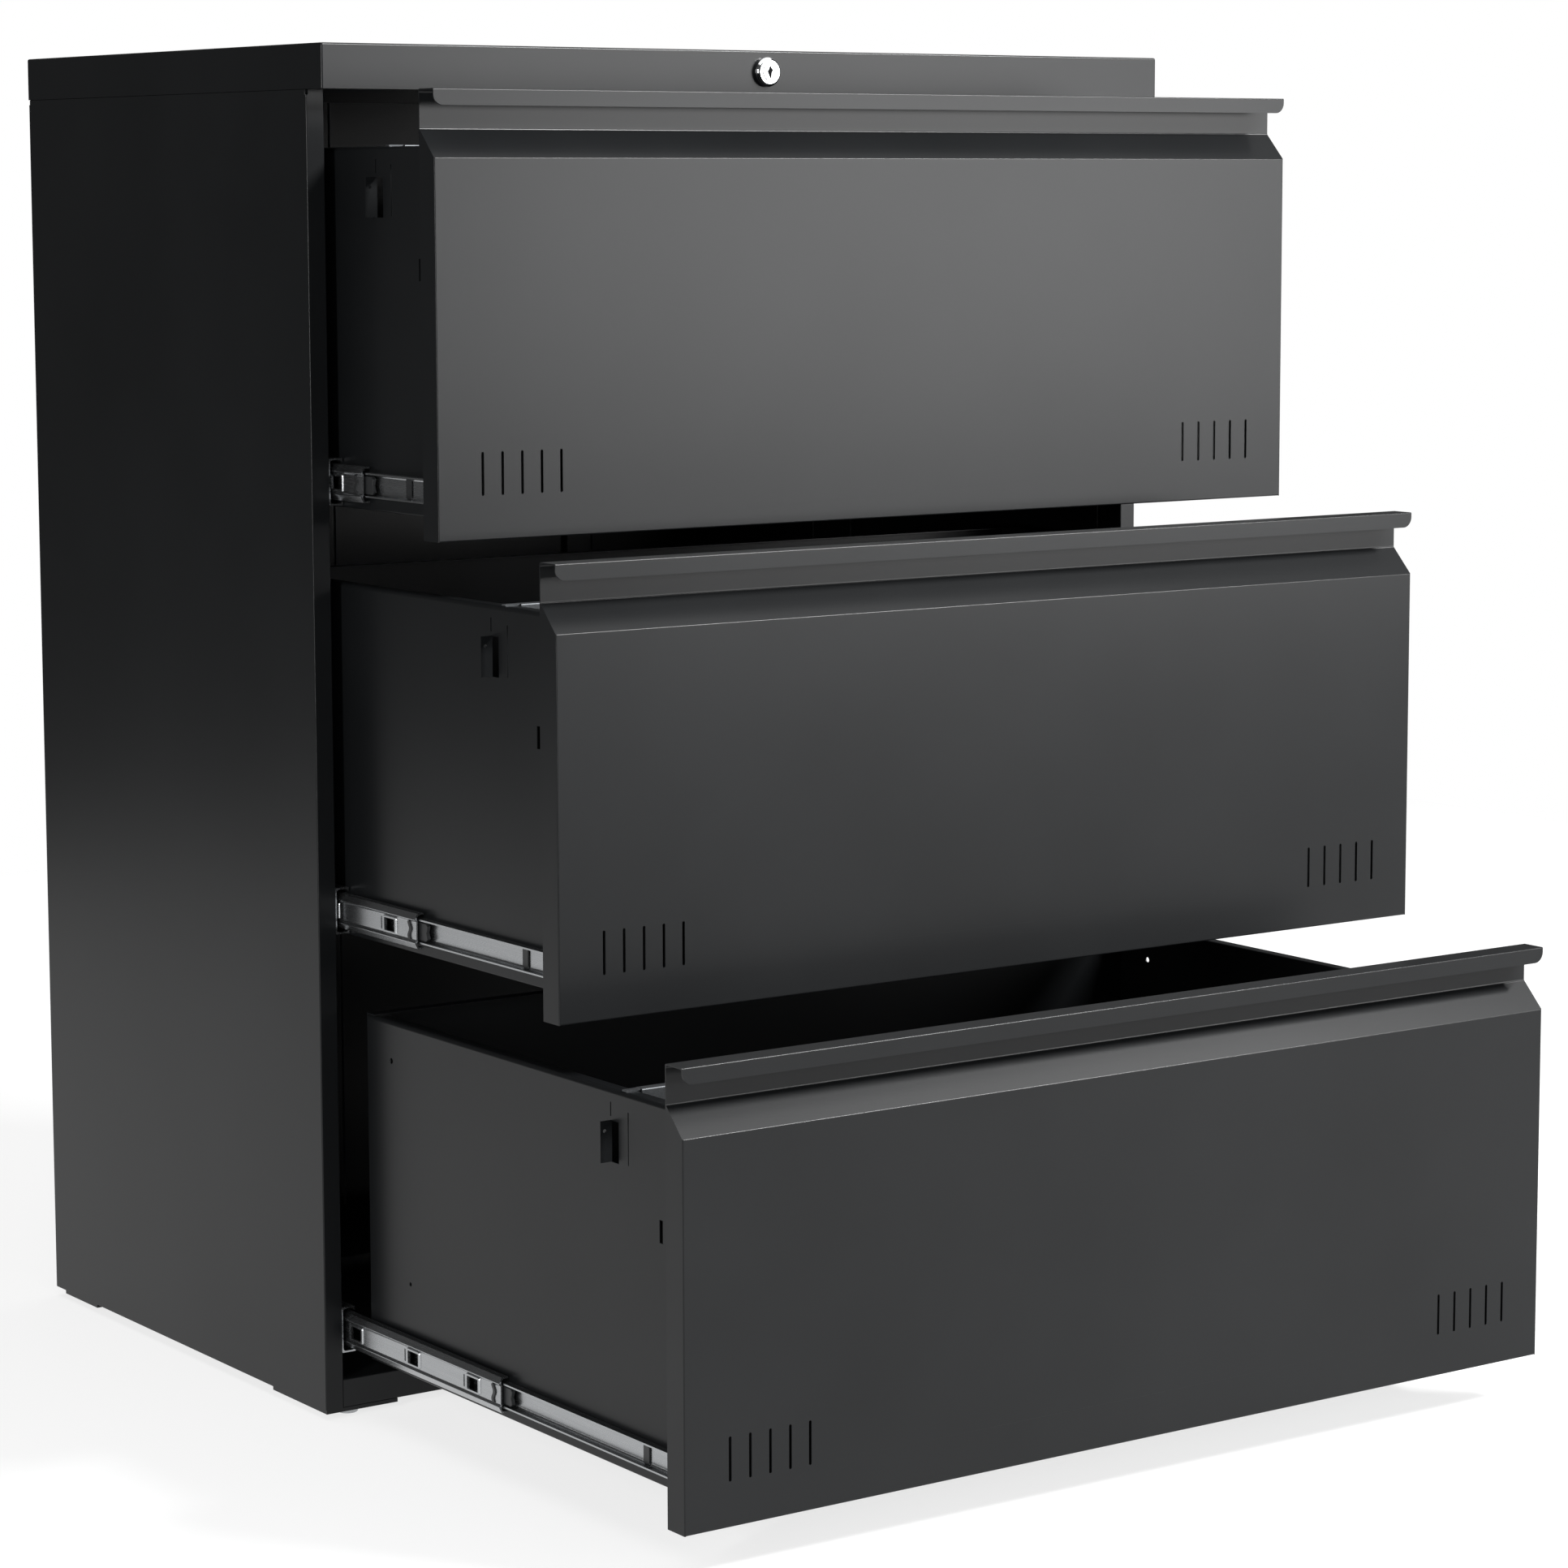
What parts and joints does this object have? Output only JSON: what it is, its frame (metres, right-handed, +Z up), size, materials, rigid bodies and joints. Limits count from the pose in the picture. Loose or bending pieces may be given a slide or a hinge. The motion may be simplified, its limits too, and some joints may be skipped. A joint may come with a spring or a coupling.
{
  "type": "lateral filing cabinet",
  "caption": "Lateral filing cabinet in folded steel with drawers on telescopic ball-bearing slides, recessed full-width grips, a key lock in the top and levelling feet.",
  "frame": {"origin": "on the floor, in the middle of the space the cabinet takes up with its drawers standing out as at rest", "axes": "+Z up, +X to the right of someone facing the drawers, -Y the way the drawers pull out"},
  "size_m": [0.784, 0.954, 1.03],
  "materials": {
    "black_powder_coat": "satin",
    "zinc_steel": "bright zinc plate",
    "bearing_steel": "ground",
    "chrome": "polished",
    "dark_steel": "black coat",
    "raw_steel": "mill",
    "foot_zinc": "zinc plate"
  },
  "bodies": {
    "case": {"side_panel_left": "black_powder_coat", "side_panel_right": "black_powder_coat", "back_panel": "black_powder_coat", "top_cap": "black_powder_coat", "bottom_panel": "black_powder_coat", "counterweight": "raw_steel", "front_top_rail": "black_powder_coat", "corner_brackets": "dark_steel", "slide_posts": "dark_steel", "case_screws": "dark_steel", "lock_barrel": "chrome", "slide_outer_top_left": "zinc_steel", "slide_outer_top_right": "zinc_steel", "slide_outer_middle_left": "zinc_steel", "slide_outer_middle_right": "zinc_steel", "slide_outer_bottom_left": "zinc_steel", "slide_outer_bottom_right": "zinc_steel"},
    "lock": {"lock_plug": "chrome", "lock_cam": "dark_steel"},
    "lock_bar": {"lock_bar": "dark_steel"},
    "foot_front_left": {"levelling_foot_front_left": "foot_zinc"},
    "foot_front_right": {"levelling_foot_front_right": "foot_zinc"},
    "foot_rear_left": {"levelling_foot_rear_left": "foot_zinc"},
    "foot_rear_right": {"levelling_foot_rear_right": "foot_zinc"},
    "drawer_top": {"drawer_front_top": "black_powder_coat", "drawer_inner_front_top": "black_powder_coat", "drawer_bottom_top": "black_powder_coat", "drawer_back_top": "black_powder_coat", "drawer_side_top_left": "black_powder_coat", "drawer_side_top_right": "black_powder_coat", "file_rail_top": "zinc_steel", "slide_inner_top_left": "zinc_steel", "slide_inner_top_right": "zinc_steel"},
    "slide_middles_top": {"slide_middle_top_left": "zinc_steel", "slide_middle_top_right": "zinc_steel", "ball_cages_top": "bearing_steel"},
    "drawer_middle": {"drawer_front_middle": "black_powder_coat", "drawer_inner_front_middle": "black_powder_coat", "drawer_bottom_middle": "black_powder_coat", "drawer_back_middle": "black_powder_coat", "drawer_side_middle_left": "black_powder_coat", "drawer_side_middle_right": "black_powder_coat", "file_rail_middle": "zinc_steel", "slide_inner_middle_left": "zinc_steel", "slide_inner_middle_right": "zinc_steel"},
    "slide_middles_middle": {"slide_middle_middle_left": "zinc_steel", "slide_middle_middle_right": "zinc_steel", "ball_cages_middle": "bearing_steel"},
    "drawer_bottom": {"drawer_front_bottom": "black_powder_coat", "drawer_inner_front_bottom": "black_powder_coat", "drawer_bottom_bottom": "black_powder_coat", "drawer_back_bottom": "black_powder_coat", "drawer_side_bottom_left": "black_powder_coat", "drawer_side_bottom_right": "black_powder_coat", "file_rail_bottom": "zinc_steel", "slide_inner_bottom_left": "zinc_steel", "slide_inner_bottom_right": "zinc_steel"},
    "slide_middles_bottom": {"slide_middle_bottom_left": "zinc_steel", "slide_middle_bottom_right": "zinc_steel", "ball_cages_bottom": "bearing_steel"}
  },
  "joints": [
    {"name": "drawer_top_slide", "type": "slide", "parent": "case", "child": "drawer_top", "axis": [0, -1, 0], "range_m": [-0.159, 0.305]},
    {"name": "slide_middles_top_slide", "type": "slide", "parent": "case", "child": "slide_middles_top", "axis": [0, -1, 0], "range_m": [-0.0796, 0.1526]},
    {"name": "drawer_middle_slide", "type": "slide", "parent": "case", "child": "drawer_middle", "axis": [0, -1, 0], "range_m": [-0.313, 0.151]},
    {"name": "slide_middles_middle_slide", "type": "slide", "parent": "case", "child": "slide_middles_middle", "axis": [0, -1, 0], "range_m": [-0.1566, 0.0756]},
    {"name": "drawer_bottom_slide", "type": "slide", "parent": "case", "child": "drawer_bottom", "axis": [0, -1, 0], "range_m": [-0.464, 0]},
    {"name": "slide_middles_bottom_slide", "type": "slide", "parent": "case", "child": "slide_middles_bottom", "axis": [0, -1, 0], "range_m": [-0.2321, 0.0001]},
    {"name": "lock_turn", "type": "hinge", "parent": "case", "child": "lock", "pos_m": [0, -0.013, 1.0135], "axis": [0, -1, 0], "range_deg": [0, 90]},
    {"name": "lock_bar_lift", "type": "slide", "parent": "case", "child": "lock_bar", "axis": [0, 0, 1], "range_m": [0, 0.01414]},
    {"name": "foot_front_left_turn", "type": "hinge", "parent": "case", "child": "foot_front_left", "pos_m": [-0.365, 0.026, 0.002], "axis": [0, 0, 1], "continuous": true},
    {"name": "foot_front_right_turn", "type": "hinge", "parent": "case", "child": "foot_front_right", "pos_m": [0.365, 0.026, 0.002], "axis": [0, 0, 1], "continuous": true},
    {"name": "foot_rear_left_turn", "type": "hinge", "parent": "case", "child": "foot_rear_left", "pos_m": [-0.365, 0.4515, 0.002], "axis": [0, 0, 1], "continuous": true},
    {"name": "foot_rear_right_turn", "type": "hinge", "parent": "case", "child": "foot_rear_right", "pos_m": [0.365, 0.4515, 0.002], "axis": [0, 0, 1], "continuous": true}
  ],
  "couplings": [
    {"joint": "slide_middles_top_slide", "follows": "drawer_top_slide", "ratio": 0.5},
    {"joint": "slide_middles_middle_slide", "follows": "drawer_middle_slide", "ratio": 0.5},
    {"joint": "slide_middles_bottom_slide", "follows": "drawer_bottom_slide", "ratio": 0.5},
    {"joint": "lock_turn", "follows": "lock_bar_lift", "rad_per_m": 111.07}
  ]
}
